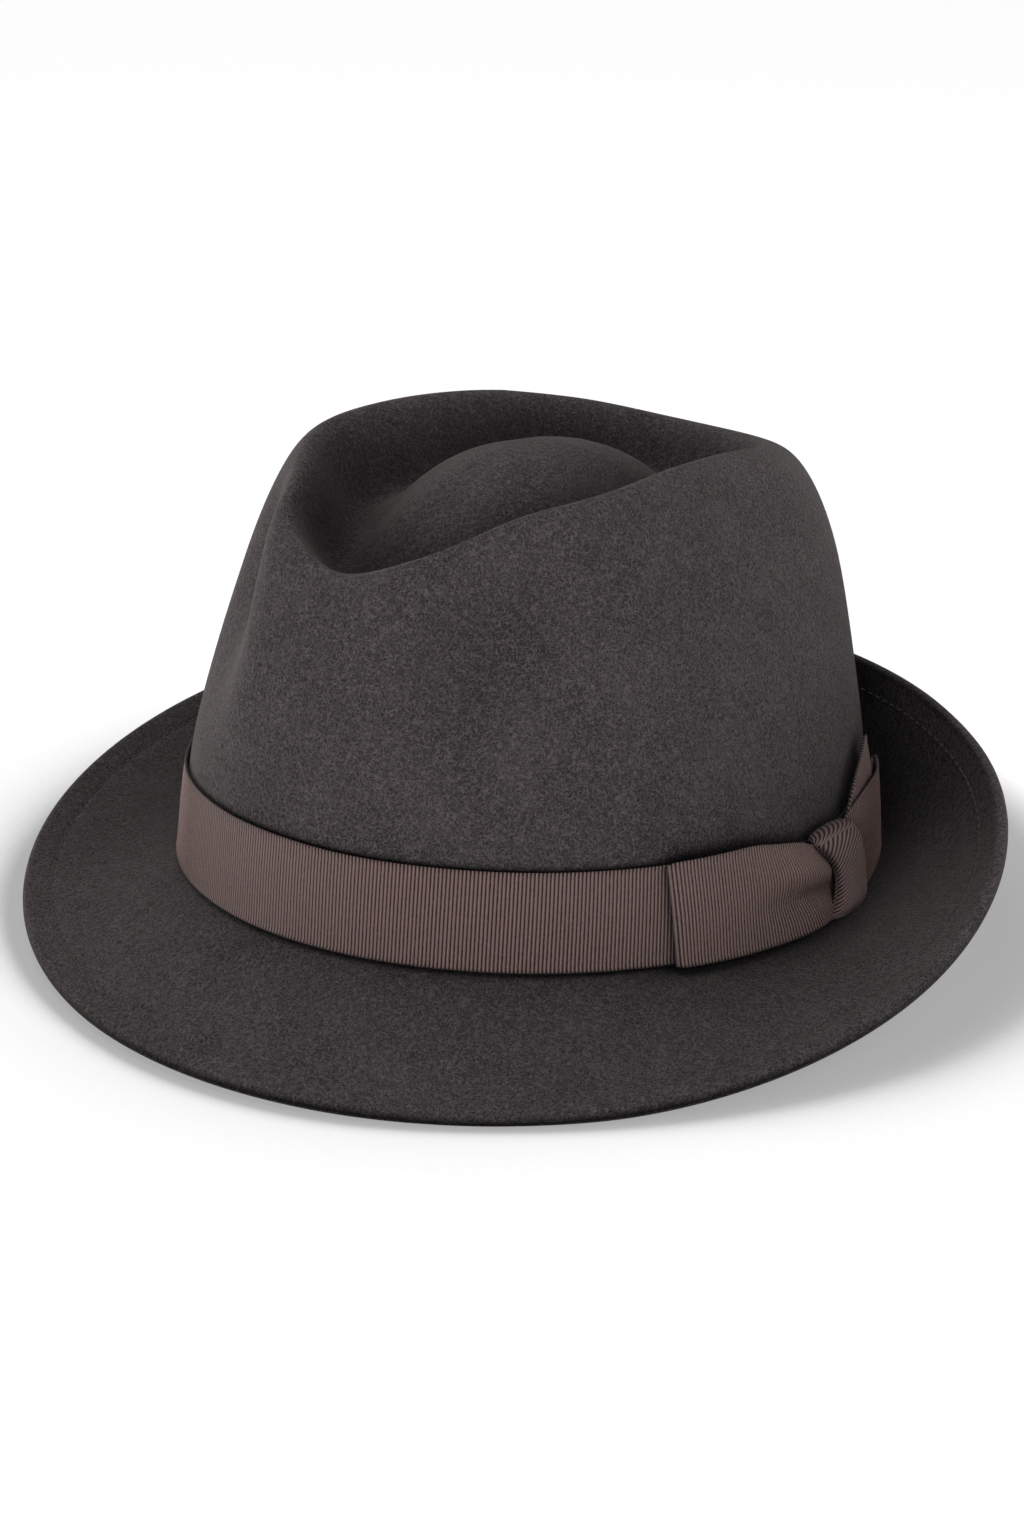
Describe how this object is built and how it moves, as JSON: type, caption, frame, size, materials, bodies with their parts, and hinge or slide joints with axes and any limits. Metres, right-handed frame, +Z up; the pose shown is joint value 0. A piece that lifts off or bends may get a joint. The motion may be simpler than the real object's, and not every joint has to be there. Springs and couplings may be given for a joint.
{
  "type": "trilby hat",
  "caption": "Felt trilby with a teardrop-dented crown, pinched front, short welted brim turned up at the back, ribbon band and flat side bow.",
  "frame": {"origin": "middle of the bounding box, at the plane the hat rests on", "axes": "-Y to the front of the hat, +X to the wearer's left (the bow's side), +Z up"},
  "size_m": [0.2598, 0.2554, 0.128],
  "materials": {
    "felt": "matte",
    "ribbon": "satin"
  },
  "bodies": {
    "root": {"felt_body": "felt", "hat_band": "ribbon", "bow_front_loop": "ribbon", "bow_back_loop": "ribbon", "bow_knot": "ribbon"}
  },
  "joints": []
}
